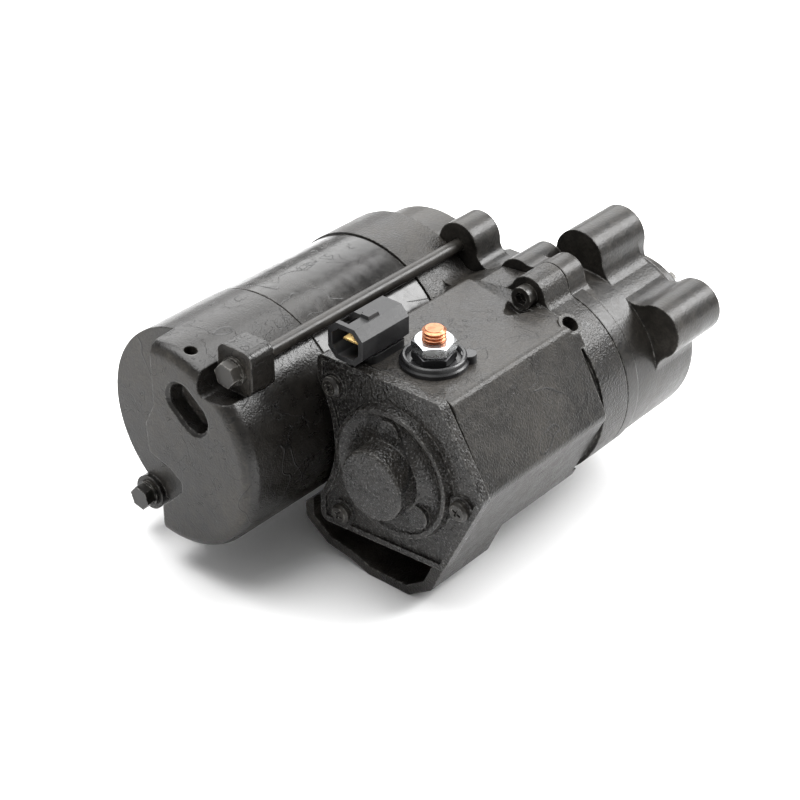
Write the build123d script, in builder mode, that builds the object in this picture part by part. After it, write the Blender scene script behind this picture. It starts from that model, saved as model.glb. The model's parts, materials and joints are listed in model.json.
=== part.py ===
"""Offset gear-reduction starter motor, built from its separate pieces.

Frame: the origin is the centre of the mounting flange's front face, on the pinion axis.
+X runs along that axis towards the drive end, +Y towards the electric motor beside it,
and +Z towards the battery terminal. All sizes are in millimetres.
"""

import os
from math import acos, cos, pi, radians, sin, tan

from build123d import *

# ---- gear train -------------------------------------------------------------------
MODULE = 1.75
ARMATURE_TEETH = 11
IDLER_TEETH = 17
CLUTCH_TEETH = 31
PRESSURE = radians(20)
ADDENDUM = 0.8
DEDENDUM = 1.15
BACKLASH = 0.14
GEAR_X = -58.0
GEAR_WIDTH = 11.0

IDLER_Y = MODULE * (CLUTCH_TEETH + IDLER_TEETH) / 2
MOTOR_Y = IDLER_Y + MODULE * (IDLER_TEETH + ARMATURE_TEETH) / 2

# ---- planes: local x is +Y and local y is +Z, the normal is +X ----------------------
PINION = Plane.YZ
IDLER = Plane(origin=(0, IDLER_Y, 0), x_dir=(0, 1, 0), z_dir=(1, 0, 0))
MOTOR = Plane(origin=(0, MOTOR_Y, 0), x_dir=(0, 1, 0), z_dir=(1, 0, 0))
MOTOR_SIDE = Plane(origin=(0, MOTOR_Y, 0), x_dir=(1, 0, 0), z_dir=(0, 0, 1))
MOTOR_AXIS = Axis((0, MOTOR_Y, 0), (1, 0, 0))

# ---- stations along X ---------------------------------------------------------------
CAP_REAR = -166.6
CAP_LOW = -154.5
CAP_STEP = -150.4
CAP_FRONT = -120.0
YOKE_FRONT = -66.3
COVER_REAR = -129.0
COVER_THICK = 4.0
GASKET_THICK = 0.8
BODY_REAR = COVER_REAR + COVER_THICK + GASKET_THICK
BOSS_REAR = -140.5
RIM_REAR = -58.0
SEAM = -43.5
CASE_FRONT = -26.0
FRONT_ROUND = 4.0
PILOT_LENGTH = 9.0

# ---- radii --------------------------------------------------------------------------
YOKE_R = 38.0
YOKE_BORE = 33.5
CAP_R = 38.2
SADDLE_R = 40.2
RIM_R = 33.3
DRIVE_R = 32.7
PILOT_R = 25.0
SOLENOID_BORE = 24.5
GEAR_ROOM_R = 29.9
IDLER_ROOM_R = 17.6
PINION_ROOM_R = 12.6

# ---- fasteners ----------------------------------------------------------------------
THROUGH_R = 41.5
THROUGH_ANGLE = 124
EAR_HOLES = ((2.8, 36.8), (-30.6, 18.9))
EAR_R = 10.0
EAR_HOLE_R = 3.4
EAR_HOLE_DEPTH = 20.0
JOINT_SCREWS = ((1.5, 35.2), (14.0, -35.2))
JOINT_BOSSES = ((1.5, 34.5), (14.0, -34.5))
JOINT_BOSS_R = 7.3
GROOVE = 0.5
COVER_SCREWS = ((26.0, 22.7), (23.0, -27.0), (-28.3, -2.3))
TOP_Z = 32.6
STUD_X = -108.8
TERMINAL_X = -110.0

TRAVEL = 13.0
RUN = 0.05


def polar(radius, angle, centre=(0, 0)):
    """A point at a radius and an angle in degrees about a centre."""
    turn = radians(angle)
    return (centre[0] + radius * cos(turn), centre[1] + radius * sin(turn))


THROUGH_BOLTS = (
    polar(THROUGH_R, THROUGH_ANGLE, (MOTOR_Y, 0)),
    polar(THROUGH_R, THROUGH_ANGLE + 180, (MOTOR_Y, 0)),
)


def ring(plane, outer, inner=0):
    """A disc or ring sketched on a plane."""
    with BuildSketch(plane) as face:
        Circle(outer)
        if inner:
            Circle(inner, mode=Mode.SUBTRACT)
    return face.sketch


def half_section(corners, plane=Plane.XY):
    """A half section given as (x, radius) corners, ready to be revolved."""
    with BuildSketch(plane) as face:
        with BuildLine():
            Polyline(*corners, close=True)
        make_face()
    return face.sketch


def outline(plane, corners, radius=0):
    """A closed outline with its corners rounded."""
    with BuildSketch(plane) as face:
        with BuildLine():
            Polyline(*corners, close=True)
        make_face()
        if radius:
            fillet(face.vertices(), radius)
    return face.sketch


def casting_face(plane, discs, web, soft):
    """Discs joined by a web, with the inner corners between them rounded."""
    with BuildSketch(plane) as face:
        for centre, radius in discs:
            with Locations(centre):
                Circle(radius)
        if web:
            with BuildLine():
                Polyline(*web, close=True)
            make_face()
        offset(amount=soft, kind=Kind.ARC)
        offset(amount=-soft, kind=Kind.ARC)
    return face.sketch


def involute(angle):
    return tan(angle) - angle


def gear_points(teeth, phase, module):
    """Corners of an involute gear, with one tooth centred on the phase angle."""
    pitch = module * teeth / 2
    base = pitch * cos(PRESSURE)
    root = pitch - DEDENDUM * module
    tip = pitch + ADDENDUM * module
    half = (pi * module / 2 - BACKLASH) / (2 * pitch) + involute(PRESSURE)
    start = max(base, root)
    radii = [root] if root < base else []
    radii += [start + (tip - start) * step / 3 for step in range(4)]
    flank = [(r, half - involute(acos(min(1.0, base / r))) if r > base else half) for r in radii]
    points = []
    for tooth in range(teeth):
        centre = radians(phase) + 2 * pi * tooth / teeth
        side = [(r, centre - a) for r, a in flank] + [(r, centre + a) for r, a in reversed(flank)]
        points += [(r * cos(a), r * sin(a)) for r, a in side]
    return points


def gear_face(plane, teeth, phase, bore=0, module=MODULE):
    with BuildSketch(plane) as face:
        with BuildLine():
            Polyline(*gear_points(teeth, phase, module), close=True)
        make_face()
        if bore:
            Circle(bore, mode=Mode.SUBTRACT)
    return face.sketch


def spline_face(plane, inner, outer, teeth=6, share=0.46):
    """A splined section: a round core with square teeth."""
    width = 2 * pi * outer / teeth * share
    with BuildSketch(plane) as face:
        Circle(inner)
        with PolarLocations(0, teeth):
            with Locations(((inner + outer) / 2 - 1, 0)):
                Rectangle(outer - inner + 2, width)
        Circle(outer, mode=Mode.INTERSECT)
    return face.sketch


def hexagon(plane, across_flats, at=(0, 0), turn=0):
    with BuildSketch(plane) as face:
        with Locations(at):
            RegularPolygon(across_flats / 2, 6, major_radius=False, rotation=turn)
    return face.sketch


def spots(plane, points, radius, inner=0):
    """Discs or rings at several places on one plane."""
    with BuildSketch(plane) as face:
        with Locations(*points):
            Circle(radius)
            if inner:
                Circle(inner, mode=Mode.SUBTRACT)
    return face.sketch


def finish(piece, label):
    piece.part.label = label
    export_step(piece.part, f"parts/{label}.step")


os.makedirs("parts", exist_ok=True)

# ==== motor: casing ==================================================================
LOW_REGION = [
    (72.3, 46), (72.3, 14), (77, 5), (76.3, -6), (66.5, -8.6), (61.2, -12.2),
    (61.2, -16), (66.8, -21.8), (71.5, -26.5), (71.5, -46), (112, -46), (112, 46),
]
CAP_ROUND = 4.5
EAR_BACK = -156.5
EAR_FRONT = -146.0


def lug_face(plane, grow=0):
    """The two through-bolt lugs: a squarish one above and a small round one below."""
    with BuildSketch(plane) as face:
        with Locations(THROUGH_BOLTS[0]):
            RectangleRounded(15 + 2 * grow, 16 + 2 * grow, 3.5)
        with Locations(THROUGH_BOLTS[1]):
            Circle(6.5 + grow)
    return face.sketch


def slanted_slot(plane, length, width):
    with BuildSketch(plane) as face:
        with Locations((56.4, 18.8)):
            SlotOverall(length, width, rotation=38)
    return face.sketch


with BuildPart() as end_cover:
    with BuildSketch(MOTOR_SIDE) as cap_half:
        with BuildLine():
            Polyline((CAP_REAR + CAP_ROUND, CAP_R), (CAP_FRONT - GROOVE, CAP_R),
                     (CAP_FRONT, CAP_R - GROOVE), (CAP_FRONT, 0),
                     (CAP_REAR, 0), (CAP_REAR, CAP_R - CAP_ROUND))
            RadiusArc((CAP_REAR, CAP_R - CAP_ROUND), (CAP_REAR + CAP_ROUND, CAP_R), CAP_ROUND)
        make_face()
    revolve(cap_half.sketch, MOTOR_AXIS)
    # the far half of the rear face is lower, with a rounded bay for the second bolt's head
    extrude(outline(PINION.offset(CAP_REAR - 1), LOW_REGION, 1.6), amount=CAP_LOW - CAP_REAR + 1,
            taper=5, mode=Mode.SUBTRACT)
    # ears for the through bolts, with room for a spanner behind them
    extrude(lug_face(PINION.offset(EAR_BACK)), amount=EAR_FRONT - EAR_BACK)
    extrude(lug_face(PINION.offset(CAP_REAR - 1), 0.2), amount=EAR_BACK - CAP_REAR + 1,
            mode=Mode.SUBTRACT)
    # room for the brush gear, the deep pocket behind it and the bearing seat
    extrude(ring(MOTOR.offset(CAP_STEP), YOKE_BORE, 12.5), amount=CAP_FRONT - CAP_STEP,
            mode=Mode.SUBTRACT)
    extrude(ring(MOTOR.offset(-145.5), 20), amount=CAP_FRONT + 145.5, mode=Mode.SUBTRACT)
    with BuildSketch(MOTOR.offset(-162.6)) as pocket:
        Circle(YOKE_BORE - 2)
        with Locations((17, 0)):
            Rectangle(60, 90, mode=Mode.SUBTRACT)
        with Locations((-20, 28)):
            Rectangle(40, 44, mode=Mode.SUBTRACT)
    extrude(pocket.sketch, amount=162.6 + CAP_STEP, mode=Mode.SUBTRACT)
    extrude(ring(MOTOR.offset(-152.5), 9.5), amount=8, mode=Mode.SUBTRACT)
    extrude(ring(MOTOR.offset(-153.5), 6), amount=1.1, mode=Mode.SUBTRACT)
    # slanted oval recess in the raised face and a small vent in the top
    extrude(slanted_slot(PINION.offset(CAP_REAR), 19.5, 12.5), amount=6, taper=12, mode=Mode.SUBTRACT)
    extrude(slanted_slot(PINION.offset(CAP_REAR), 21.2, 14.2), amount=1, taper=42, mode=Mode.SUBTRACT)
    VENT = Plane(origin=(-160.5, MOTOR_Y - 6, 30), x_dir=(1, 0, 0), z_dir=(0, -0.17, 1))
    extrude(ring(VENT, 2.3), amount=12, mode=Mode.SUBTRACT)
    extrude(spots(PINION.offset(EAR_BACK), THROUGH_BOLTS, 2.7), amount=EAR_FRONT - EAR_BACK,
            mode=Mode.SUBTRACT)
finish(end_cover, "end_cover")

with BuildPart() as yoke:
    extrude(ring(MOTOR.offset(CAP_FRONT), YOKE_R, YOKE_BORE), amount=YOKE_FRONT - CAP_FRONT)
    LEAD_HOLE = Plane(origin=(TERMINAL_X, MOTOR_Y, 0), x_dir=(1, 0, 0), z_dir=(0, -cos(radians(42)),
                      -sin(radians(42))))
    chamfer(yoke.edges().filter_by(GeomType.CIRCLE).sort_by(SortBy.RADIUS)[-2:], GROOVE)
    extrude(ring(LEAD_HOLE.offset(30), 4.2), amount=10, mode=Mode.SUBTRACT)
finish(yoke, "yoke")

MAGNET_X = -116.0
MAGNET_LENGTH = 40.0
with BuildPart() as field_magnets:
    with BuildSketch(MOTOR.offset(MAGNET_X)) as arcs:
        Circle(YOKE_BORE - 0.1)
        Circle(27.2, mode=Mode.SUBTRACT)
        with PolarLocations(0, 4, start_angle=30):
            with Locations((30, 0)):
                Rectangle(12, 8, mode=Mode.SUBTRACT)
    extrude(arcs.sketch, amount=MAGNET_LENGTH)
finish(field_magnets, "field_magnets")

# ==== motor: armature =================================================================
BRUSH_PLATE_X = -145.0
COMMUTATOR_X = -142.0
COMMUTATOR_R = 15.0
BRUSH_X = -134.5
CORE_X = -114.0
CORE_LENGTH = 37.0

with BuildPart() as armature_shaft:
    revolve(half_section([
        (-153, 0), (-153, 3.4), (-152.4, 4), (-143.5, 4), (-143.5, 5), (-69, 5), (-69, 6),
        (-60, 6), (-60, 6.6), (GEAR_X, 6.6), (GEAR_X, 0)], MOTOR_SIDE), MOTOR_AXIS)
    extrude(gear_face(MOTOR.offset(GEAR_X), ARMATURE_TEETH, 180), amount=GEAR_WIDTH)
finish(armature_shaft, "armature_shaft")

with BuildPart() as armature_core:
    with BuildSketch(MOTOR.offset(CORE_X)) as lamination:
        Circle(26.6)
        Circle(5, mode=Mode.SUBTRACT)
        with PolarLocations(0, 16):
            with Locations((21.5, 0)):
                Rectangle(8, 4.4, mode=Mode.SUBTRACT)
            with Locations((26, 0)):
                Rectangle(4, 1.6, mode=Mode.SUBTRACT)
    extrude(lamination.sketch, amount=CORE_LENGTH)
finish(armature_core, "armature_core")

with BuildPart() as armature_windings:
    with BuildSketch(MOTOR.offset(CORE_X)) as bars:
        with PolarLocations(21.3, 16):
            Rectangle(6.8, 3.8)
    extrude(bars.sketch, amount=CORE_LENGTH)
    revolve(half_section([
        (CORE_X - 9, 11), (CORE_X - 9, 14), (CORE_X - 7, 20), (CORE_X, 25), (CORE_X, 11)],
        MOTOR_SIDE), MOTOR_AXIS)
    front = CORE_X + CORE_LENGTH
    revolve(half_section([
        (front, 12), (front, 25), (front + 3, 24.5), (front + 5.5, 20), (front + 5.5, 13)],
        MOTOR_SIDE), MOTOR_AXIS)
finish(armature_windings, "armature_windings")

with BuildPart() as commutator:
    extrude(ring(MOTOR.offset(COMMUTATOR_X), COMMUTATOR_R, 5), amount=16)
    with BuildSketch(MOTOR.offset(COMMUTATOR_X - 1)) as cuts:
        with PolarLocations(COMMUTATOR_R, 16):
            Rectangle(2.4, 0.7)
    extrude(cuts.sketch, amount=15, mode=Mode.SUBTRACT)
    extrude(ring(MOTOR.offset(COMMUTATOR_X + 16), 16.5, 5), amount=2.4)
finish(commutator, "commutator")

# ==== motor: brush gear ================================================================
BRUSH_ANGLES = (45, 135, 225, 315)
BRUSH_IN = COMMUTATOR_R + 0.05
BRUSH_OUT = 25.0
SPRING_OUT = 31.6
BRUSH_WIDE = 8.0
BRUSH_LONG = 10.0


def brush_plane(angle, distance):
    """A plane square to a brush, its local x along the motor's axis."""
    out = (0, cos(radians(angle)), sin(radians(angle)))
    centre = (BRUSH_X, MOTOR_Y + distance * out[1], distance * out[2])
    return Plane(origin=centre, x_dir=(1, 0, 0), z_dir=out)


with BuildPart() as brush_holder:
    extrude(ring(MOTOR.offset(BRUSH_PLATE_X), 33.2, 18), amount=1.6)
    for angle in BRUSH_ANGLES:
        with BuildSketch(brush_plane(angle, 17)) as wall:
            Rectangle(BRUSH_LONG + 3.6, BRUSH_WIDE + 3)
            Rectangle(BRUSH_LONG + 0.4, BRUSH_WIDE + 0.4, mode=Mode.SUBTRACT)
        extrude(wall.sketch, amount=SPRING_OUT - 17)
        with BuildSketch(brush_plane(angle, SPRING_OUT)) as lid:
            Rectangle(BRUSH_LONG + 3.6, BRUSH_WIDE + 3)
        extrude(lid.sketch, amount=1)
        # a foot joins the box to the plate
        with BuildSketch(brush_plane(angle, 19)) as foot:
            with Locations((-7.2, 0)):
                Rectangle(3.6, BRUSH_WIDE)
        extrude(foot.sketch, amount=SPRING_OUT - 19)
finish(brush_holder, "brush_holder")

for number, angle in enumerate(BRUSH_ANGLES, start=1):
    with BuildPart() as brush:
        with BuildSketch(brush_plane(angle, BRUSH_IN - 2)) as block:
            Rectangle(BRUSH_LONG, BRUSH_WIDE)
        extrude(block.sketch, amount=BRUSH_OUT - BRUSH_IN + 2)
        extrude(ring(MOTOR.offset(BRUSH_X - 9), BRUSH_IN), amount=18, mode=Mode.SUBTRACT)
    finish(brush, f"brush_{number}")


def coil_spring(base, mean_radius, wire, length, turns):
    """A compression spring standing on a plane, as one swept wire."""
    route = Helix(length / turns, length, mean_radius)
    start = Plane(origin=route @ 0, z_dir=route % 0)
    with BuildPart() as spring:
        with BuildSketch(start):
            Circle(wire)
        sweep(path=route)
    return base * spring.part


BRUSH_SPRING = SPRING_OUT - BRUSH_OUT - 1.2
coils = [coil_spring(brush_plane(angle, BRUSH_OUT + 0.6), 2.8, 0.45, BRUSH_SPRING, 4)
         for angle in BRUSH_ANGLES]
with BuildPart() as brush_springs:
    add(coils)
finish(brush_springs, "brush_springs")


# ==== ball bearings ===================================================================
def bearing_race(x, width, outer, inner, groove, axis_y):
    """One race, with the balls' groove turned into it."""
    mid, ball = groove
    plane = Plane(origin=(0, axis_y, 0), x_dir=(1, 0, 0), z_dir=(0, 0, 1))
    with BuildSketch(plane) as section:
        with BuildLine():
            Polyline((x, inner), (x + width, inner), (x + width, outer), (x, outer), close=True)
        make_face()
        with Locations((x + width / 2, mid)):
            Circle(ball + 0.03, mode=Mode.SUBTRACT)
    return revolve(section.sketch, Axis((0, axis_y, 0), (1, 0, 0)))


BEARINGS = {
    # name: (x, width, outer radius, bore radius, centre y, number of balls)
    "armature_rear": (-152.5, 7.0, 9.5, 4.0, MOTOR_Y, 8),
    "armature_front": (-68.5, 8.0, 13.0, 6.0, MOTOR_Y, 8),
    "clutch_rear": (-68.0, 7.0, 14.0, 7.5, 0.0, 10),
    "clutch_front": (-12.0, 9.0, 18.5, 10.0, 0.0, 11),
}

for name, (x, width, outer, bore, axis_y, count) in BEARINGS.items():
    middle = (outer + bore) / 2
    ball = (outer - bore) * 0.28
    shoulder = (outer - bore) * 0.2
    with BuildPart() as outer_race:
        bearing_race(x, width, outer, middle + shoulder, (middle, ball), axis_y)
    finish(outer_race, f"{name}_outer_race")
    with BuildPart() as inner_race:
        bearing_race(x, width, middle - shoulder, bore, (middle, ball), axis_y)
    finish(inner_race, f"{name}_inner_race")


def ball_set(name):
    x, width, outer, bore, axis_y, count = BEARINGS[name]
    middle = (outer + bore) / 2
    plane = Plane(origin=(x + width / 2, axis_y, 0), x_dir=(0, 1, 0), z_dir=(1, 0, 0))
    with Locations(plane):
        with PolarLocations(middle, count):
            Sphere((outer - bore) * 0.28)


with BuildPart() as bearing_balls:
    for name in BEARINGS:
        ball_set(name)
finish(bearing_balls, "bearing_balls")

# ==== gears and clutch ===================================================================
IDLER_PIN_R = 4.0
ROLLER_R = 1.25
IDLER_BORE = IDLER_PIN_R + 2 * ROLLER_R + 2 * RUN

with BuildPart() as idler_gear:
    extrude(gear_face(IDLER.offset(GEAR_X), IDLER_TEETH, 180 / IDLER_TEETH, IDLER_BORE),
            amount=GEAR_WIDTH)
finish(idler_gear, "idler_gear")

with BuildPart() as idler_rollers:
    with BuildSketch(IDLER.offset(GEAR_X + 0.5)) as needles:
        with PolarLocations(IDLER_PIN_R + ROLLER_R + RUN / 2, 11):
            Circle(ROLLER_R)
    extrude(needles.sketch, amount=GEAR_WIDTH - 1)
finish(idler_rollers, "idler_rollers")

with BuildPart() as idler_pin:
    extrude(ring(IDLER.offset(-63), IDLER_PIN_R), amount=24)
    chamfer(idler_pin.edges().filter_by(GeomType.CIRCLE), 0.5)
finish(idler_pin, "idler_pin")

RACE_R = 13.5
CLUTCH_ROLLER_R = 3.0
ROLLER_CIRCLE = RACE_R + CLUTCH_ROLLER_R + RUN
HUB_R = 7.5
HUB_BORE = 4.7
SLEEVE_R = 8.0
DRUM_R = 26.0
DRUM_FRONT = -32.0

with BuildPart() as clutch_gear:
    extrude(gear_face(PINION.offset(GEAR_X), CLUTCH_TEETH, 180 / CLUTCH_TEETH), amount=GEAR_WIDTH)
    extrude(ring(PINION.offset(-68), HUB_R), amount=11)
    extrude(ring(PINION.offset(-61), HUB_R + 1.5), amount=4)
    extrude(ring(PINION.offset(GEAR_X + GEAR_WIDTH), DRUM_R), amount=DRUM_FRONT - GEAR_X - GEAR_WIDTH)
    extrude(ring(PINION.offset(-69), HUB_BORE), amount=40, mode=Mode.SUBTRACT)
    extrude(ring(PINION.offset(GEAR_X + 1), SLEEVE_R + RUN), amount=40, mode=Mode.SUBTRACT)
    with BuildSketch(PINION.offset(-46.0)) as roller_track:
        Circle(RACE_R + 3.6)
        with PolarLocations(ROLLER_CIRCLE, 5):
            Circle(CLUTCH_ROLLER_R + 0.1)
        with PolarLocations(ROLLER_CIRCLE, 5, start_angle=14):
            Circle(CLUTCH_ROLLER_R - 0.3)
    extrude(roller_track.sketch, amount=20, mode=Mode.SUBTRACT)
    chamfer(clutch_gear.edges().filter_by(GeomType.CIRCLE).sort_by(Axis.X)[-1], 1)
finish(clutch_gear, "clutch_gear")

with BuildPart() as clutch_rollers:
    with BuildSketch(PINION.offset(-45.5)) as five:
        with PolarLocations(ROLLER_CIRCLE, 5):
            Circle(CLUTCH_ROLLER_R)
    extrude(five.sketch, amount=13)
finish(clutch_rollers, "clutch_rollers")

SPRING_BORE = 6.6
SPLINE_IN = 6.0
SPLINE_OUT = 7.4
SPLINE_X = -20.0
SLEEVE_FRONT = 9.0

with BuildPart() as clutch_sleeve:
    revolve(half_section([
        (-56.8, 0), (-56.8, SLEEVE_R), (-45.9, SLEEVE_R), (-45.9, RACE_R), (-31.6, RACE_R),
        (-31.6, 22), (-28.6, 22), (-28.6, 12), (-12, 12), (-12, 10), (SLEEVE_FRONT - 0.6, 10),
        (SLEEVE_FRONT, 9.4), (SLEEVE_FRONT, 0)]), Axis.X)
    extrude(ring(PINION.offset(-57), SPRING_BORE), amount=SPLINE_X + 57, mode=Mode.SUBTRACT)
    extrude(spline_face(PINION.offset(SPLINE_X - 1), SPLINE_IN + RUN, SPLINE_OUT + RUN, share=0.49),
            amount=40, mode=Mode.SUBTRACT)
finish(clutch_sleeve, "clutch_sleeve")

# ==== pinion =============================================================================
COLLAR_X = -56.0
PINION_SEAT = 12.0
PINION_END = 28.0
PINION_TEETH = 10
BALL_R = 3.5
BALL_X = -62.9
ROD_END = BALL_X - BALL_R - RUN

with BuildPart() as pinion_shaft:
    revolve(half_section([
        (-60.9, 0), (-60.9, 4.2), (-60.5, 4.5), (COLLAR_X, 4.5), (COLLAR_X, 6.3), (-53, 6.3),
        (-53, 4.5), (-17, 4.5), (-17, 5.5), (PINION_END + 0.2, 5.5), (PINION_END + 0.2, 4.9),
        (PINION_END + 1.5, 4.9), (PINION_END + 1.5, 5.5), (30.4, 5.5), (31, 4.9), (31, 0)]), Axis.X)
    extrude(spline_face(PINION.offset(-17), SPLINE_IN, SPLINE_OUT), amount=PINION_SEAT + 17)
    # the push ball's seat
    extrude(ring(PINION.offset(-62), 3.0), amount=62 + BALL_X + BALL_R + RUN, mode=Mode.SUBTRACT)
finish(pinion_shaft, "pinion_shaft")

with BuildPart() as drive_pinion:
    extrude(gear_face(PINION.offset(PINION_SEAT), PINION_TEETH, 0, 5.5, module=2.0),
            amount=PINION_END - PINION_SEAT)
    # the leading face is relieved so that the teeth find their way into the ring gear
    cone = half_section([(PINION_END - 2.4, 12.5), (PINION_END + 0.1, 9.4), (PINION_END + 0.1, 12.5)])
    revolve(cone, Axis.X, mode=Mode.SUBTRACT)
finish(drive_pinion, "drive_pinion")

with BuildPart() as pinion_snap_ring:
    with BuildSketch(PINION.offset(PINION_END + 0.25)) as open_ring:
        Circle(6.9)
        Circle(4.95, mode=Mode.SUBTRACT)
        with Locations((0, -7)):
            Rectangle(3.5, 6, mode=Mode.SUBTRACT)
    extrude(open_ring.sketch, amount=1.2)
finish(pinion_snap_ring, "pinion_snap_ring")

with BuildPart() as push_ball:
    with Locations((BALL_X, 0, 0)):
        Sphere(BALL_R)
finish(push_ball, "push_ball")

RETURN_START = -52.3
return_coil = coil_spring(PINION.offset(RETURN_START), 5.95, 0.5, SPLINE_X - 0.7 - RETURN_START, 9)
with BuildPart() as return_spring:
    add(return_coil)
finish(return_spring, "return_spring")

# ==== solenoid ===========================================================================
CORE_FACE = -84.0
PLUNGER_FACE = CORE_FACE - TRAVEL - 0.4
PLUNGER_REAR = -115.7
PLUNGER_R = 12.0
CONTACT_X = PLUNGER_REAR + TRAVEL + 0.3
CONTACT_THICK = 2.2
DISC_R = 15.5
DISC_BACK = PLUNGER_REAR - 3.3
ROD_R = 3.0
BOBBIN_REAR = CONTACT_X + CONTACT_THICK + 0.1
BOBBIN_FRONT = -76.6

with BuildPart() as solenoid_core:
    revolve(half_section([
        (CORE_FACE, 3.4), (CORE_FACE, 10.5), (CORE_FACE + 1, 11.5), (BOBBIN_FRONT, 11.5),
        (BOBBIN_FRONT, 24.3), (-72.6, 24.3), (-72.6, 3.4)]), Axis.X)
finish(solenoid_core, "solenoid_core")

with BuildPart() as coil_bobbin:
    revolve(half_section([
        (BOBBIN_REAR, 12.3), (BOBBIN_REAR, 24), (BOBBIN_REAR + 1.5, 24), (BOBBIN_REAR + 1.5, 13.6),
        (BOBBIN_FRONT - 1.6, 13.6), (BOBBIN_FRONT - 1.6, 24), (BOBBIN_FRONT - 0.1, 24),
        (BOBBIN_FRONT - 0.1, 12.3)]), Axis.X)
finish(coil_bobbin, "coil_bobbin")

with BuildPart() as coil_winding:
    extrude(ring(PINION.offset(BOBBIN_REAR + 1.6), 22.5, 13.7),
            amount=BOBBIN_FRONT - BOBBIN_REAR - 3.3)
finish(coil_winding, "coil_winding")

with BuildPart() as plunger:
    revolve(half_section([
        (PLUNGER_REAR, ROD_R + 0.01), (PLUNGER_REAR, PLUNGER_R - 0.8), (PLUNGER_REAR + 0.8, PLUNGER_R),
        (PLUNGER_FACE - 0.8, PLUNGER_R), (PLUNGER_FACE, PLUNGER_R - 0.8), (PLUNGER_FACE, 7.5),
        (PLUNGER_FACE - 8, 7.5), (PLUNGER_FACE - 8, ROD_R + 0.01)]), Axis.X)
finish(plunger, "plunger")

with BuildPart() as plunger_rod:
    revolve(half_section([
        (DISC_BACK - 2.8, 0), (DISC_BACK - 2.8, 4.6), (DISC_BACK - 2.2, 5.2),
        (DISC_BACK - 0.05, 5.2), (DISC_BACK - 0.05, ROD_R),
        (ROD_END - 0.5, ROD_R), (ROD_END, ROD_R - 0.5), (ROD_END, 0)]), Axis.X)
finish(plunger_rod, "plunger_rod")

with BuildPart() as contact_disc:
    extrude(ring(PINION.offset(PLUNGER_REAR - 2.5), DISC_R, 6.2), amount=2.4)
finish(contact_disc, "contact_disc")

with BuildPart() as disc_insulator:
    revolve(half_section([
        (DISC_BACK, ROD_R + 0.01), (DISC_BACK, 8), (DISC_BACK + 0.7, 8), (DISC_BACK + 0.7, 6.1),
        (PLUNGER_REAR - 0.05, 6.1),
        (PLUNGER_REAR - 0.05, ROD_R + 0.01)]), Axis.X)
finish(disc_insulator, "disc_insulator")

PLUNGER_WELL = 8.0
plunger_coil = coil_spring(PINION.offset(PLUNGER_FACE - PLUNGER_WELL + 0.7), 5.4, 0.5,
                           CORE_FACE - PLUNGER_FACE + PLUNGER_WELL - 1.4, 6)
with BuildPart() as plunger_spring:
    add(plunger_coil)
finish(plunger_spring, "plunger_spring")

# ==== terminals ==========================================================================
CONTACT_SEAT = 20.3
CONTACT_TOP = 22.8


def contact(side, stud_x, hole):
    """An L-shaped contact: a plate facing the disc and a leg under its stud."""
    rear = stud_x - 6.2
    with BuildSketch(PINION.offset(CONTACT_X)) as plate:
        with Locations((0, side * (CONTACT_TOP + 12.9) / 2)):
            Rectangle(13, CONTACT_TOP - 12.9)
    extrude(plate.sketch, amount=CONTACT_THICK)
    with BuildSketch(Plane.XY.offset(side * CONTACT_TOP)) as leg:
        with Locations(((rear + CONTACT_X + CONTACT_THICK) / 2, 0)):
            Rectangle(CONTACT_X + CONTACT_THICK - rear, 12)
        with Locations((stud_x, 0)):
            Circle(hole, mode=Mode.SUBTRACT)
    extrude(leg.sketch, amount=-side * (CONTACT_TOP - CONTACT_SEAT))


with BuildPart() as fixed_contacts:
    contact(1, STUD_X, 4.05)
    contact(-1, TERMINAL_X, 3.05)
finish(fixed_contacts, "fixed_contacts")


def threaded_half(start, end, radius, pitch, side=1):
    """The half section of a stud whose end carries a screw thread's ridges."""
    count = int((end - start) / pitch)
    points = [(0, side * start), (radius - 0.62 * pitch, side * start)]
    for turn in range(count):
        z = start + turn * pitch
        points += [(radius - 0.62 * pitch, side * (z + 0.08 * pitch)), (radius, side * (z + 0.45 * pitch)),
                   (radius, side * (z + 0.55 * pitch)), (radius - 0.62 * pitch, side * (z + 0.92 * pitch))]
    points += [(radius - 0.8 * pitch, side * end), (0, side * end)]
    return points


STUD_TOP = 45.6
STUD_PITCH = 1.25
NUT_SEAT = 34.2
with BuildPart() as battery_stud:
    axis = Plane(origin=(STUD_X, 0, 0), x_dir=(1, 0, 0), z_dir=(0, -1, 0))
    extrude(hexagon(Plane.XY.offset(CONTACT_SEAT - 4), 11, (STUD_X, 0), 30), amount=4)
    extrude(spots(Plane.XY.offset(CONTACT_SEAT), [(STUD_X, 0)], 4), amount=NUT_SEAT - CONTACT_SEAT)
    revolve(half_section(threaded_half(NUT_SEAT, STUD_TOP, 4.0, STUD_PITCH), axis),
            Axis((STUD_X, 0, 0), (0, 0, 1)))
finish(battery_stud, "battery_stud")


def nut(plane, at, across, bore, height):
    """A hexagon nut with both faces' corners turned off."""
    extrude(hexagon(plane, across, at, 12), amount=height)
    blank = across / 2 / cos(pi / 6)
    up = plane.z_dir.Z
    foot = plane.origin.Z
    axis = Plane(origin=(at[0], 0, foot), x_dir=(1, 0, 0), z_dir=(0, -up, 0))
    cut = blank - across / 2 * 0.97
    turned = [(0, 0), (across / 2 * 0.97, 0), (blank, cut * 0.6), (blank, height - cut * 0.6),
              (across / 2 * 0.97, height), (0, height)]
    revolve(half_section(turned, axis), Axis((at[0], 0, 0), (0, 0, 1)), mode=Mode.INTERSECT)
    extrude(spots(plane, [at], bore), amount=height, mode=Mode.SUBTRACT)


with BuildPart() as stud_nut:
    nut(Plane.XY.offset(NUT_SEAT), (STUD_X, 0), 13, 4.05, 3.2)
finish(stud_nut, "stud_nut")

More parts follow.
